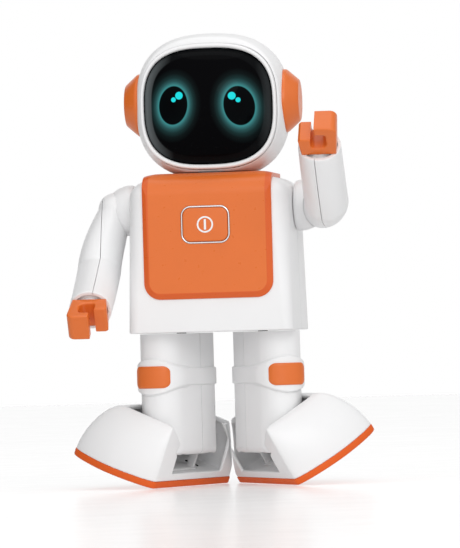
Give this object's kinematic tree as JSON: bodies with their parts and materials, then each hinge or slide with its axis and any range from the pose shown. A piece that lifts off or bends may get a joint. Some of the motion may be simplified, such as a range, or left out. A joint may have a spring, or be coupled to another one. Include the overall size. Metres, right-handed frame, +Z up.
{
  "type": "educational coding robot",
  "caption": "Desktop humanoid coding robot in white and orange with a black visor face, glowing eyes, chest power button, turning head, swinging arms and tilting boat-shaped shoes.",
  "frame": {"origin": "point on the floor midway between the hip servos' outer sides, on the neck's turning axis", "axes": "+Z up, -Y the way the face looks, +X the robot's own left"},
  "size_m": [0.1803, 0.1598, 0.271],
  "materials": {
    "white_shell": "satin moulded white ABS",
    "orange_trim": "satin moulded orange ABS",
    "orange_sole": "matt orange thermoplastic rubber",
    "visor_gloss": "polished smoked black acrylic",
    "eye_glow": "translucent diffuser lit cyan",
    "icon_white": "pad print",
    "grey_plastic": "moulded grey",
    "black_rubber": "matt black",
    "chrome_trim": "polished plated",
    "circuit_board": "solder mask",
    "servo_case": "fine textured",
    "cell_wrap": "heat shrink",
    "speaker_black": "pressed frame and cone",
    "screw_steel": "zinc plated"
  },
  "bodies": {
    "torso": {"torso_shell_front": "white_shell", "torso_shell_rear": "white_shell", "base_plate": "white_shell", "chest_panel": "orange_trim", "button_ring": "chrome_trim", "main_board": "circuit_board", "neck_servo": "servo_case", "shoulder_servo_left": "servo_case", "shoulder_servo_right": "servo_case", "hip_servo_left": "servo_case", "hip_servo_right": "servo_case", "battery_pack": "cell_wrap", "battery_door": "white_shell", "speaker": "speaker_black", "charge_port": "screw_steel", "torso_screws": "screw_steel"},
    "button": {"power_button": "orange_trim", "power_icon": "icon_white"},
    "head": {"head_shell_front": "white_shell", "head_shell_rear": "white_shell", "face_bezel": "white_shell", "visor": "visor_gloss", "eye_board": "circuit_board", "eye_diffusers": "eye_glow", "ear_cap_left": "orange_trim", "ear_cap_right": "orange_trim", "neck_collar": "grey_plastic", "head_screws": "screw_steel"},
    "left_arm": {"shoulder_hub_left": "white_shell", "arm_shell_outer_left": "white_shell", "arm_shell_inner_left": "white_shell", "wrist_plug_left": "white_shell", "hand_left": "orange_trim"},
    "left_leg": {"leg_shell_front_left": "white_shell", "leg_shell_rear_left": "white_shell", "knee_band_left": "white_shell", "knee_pad_left": "orange_trim", "ankle_servo_left": "servo_case", "hip_flange_left": "grey_plastic"},
    "left_foot": {"shoe_upper_left": "white_shell", "sole_left": "orange_sole", "ankle_bracket_left": "white_shell", "shoe_grommet_left": "black_rubber"},
    "right_arm": {"shoulder_hub_right": "white_shell", "arm_shell_outer_right": "white_shell", "arm_shell_inner_right": "white_shell", "wrist_plug_right": "white_shell", "hand_right": "orange_trim"},
    "right_leg": {"leg_shell_front_right": "white_shell", "leg_shell_rear_right": "white_shell", "knee_band_right": "white_shell", "knee_pad_right": "orange_trim", "ankle_servo_right": "servo_case", "hip_flange_right": "grey_plastic"},
    "right_foot": {"shoe_upper_right": "white_shell", "sole_right": "orange_sole", "ankle_bracket_right": "white_shell", "shoe_grommet_right": "black_rubber"}
  },
  "joints": [
    {"name": "neck_turn", "type": "hinge", "parent": "torso", "child": "head", "pos_m": [0, 0, 0.186], "axis": [0, 0, 1], "range_deg": [-47, 43]},
    {"name": "right_shoulder", "type": "hinge", "parent": "torso", "child": "right_arm", "pos_m": [-0.048, 0, 0.1665], "axis": [-1, 0, 0], "range_deg": [-60, 150]},
    {"name": "left_shoulder", "type": "hinge", "parent": "torso", "child": "left_arm", "pos_m": [0.048, 0, 0.1665], "axis": [-1, 0, 0], "range_deg": [-132, 78]},
    {"name": "right_hip", "type": "hinge", "parent": "torso", "child": "right_leg", "pos_m": [-0.0248, 0.0093, 0.092], "axis": [0, 0, -1], "range_deg": [-32, 1]},
    {"name": "left_hip", "type": "hinge", "parent": "torso", "child": "left_leg", "pos_m": [0.0248, 0.0093, 0.092], "axis": [0, 0, 1], "range_deg": [-43, 1]},
    {"name": "right_ankle", "type": "hinge", "parent": "right_leg", "child": "right_foot", "pos_m": [-0.02143, 0.00788, 0.03171], "axis": [0.3875, 0.9219, 0], "range_deg": [-5, 10]},
    {"name": "left_ankle", "type": "hinge", "parent": "left_leg", "child": "left_foot", "pos_m": [0.02173, 0.00731, 0.03171], "axis": [0.5446, -0.8387, 0], "range_deg": [-6, 1]},
    {"name": "power_button_press", "type": "slide", "parent": "torso", "child": "button", "axis": [0, 1, 0], "range_m": [0, 0.001], "stiffness_N_per_m": 300, "springref_m": -0.0005}
  ]
}
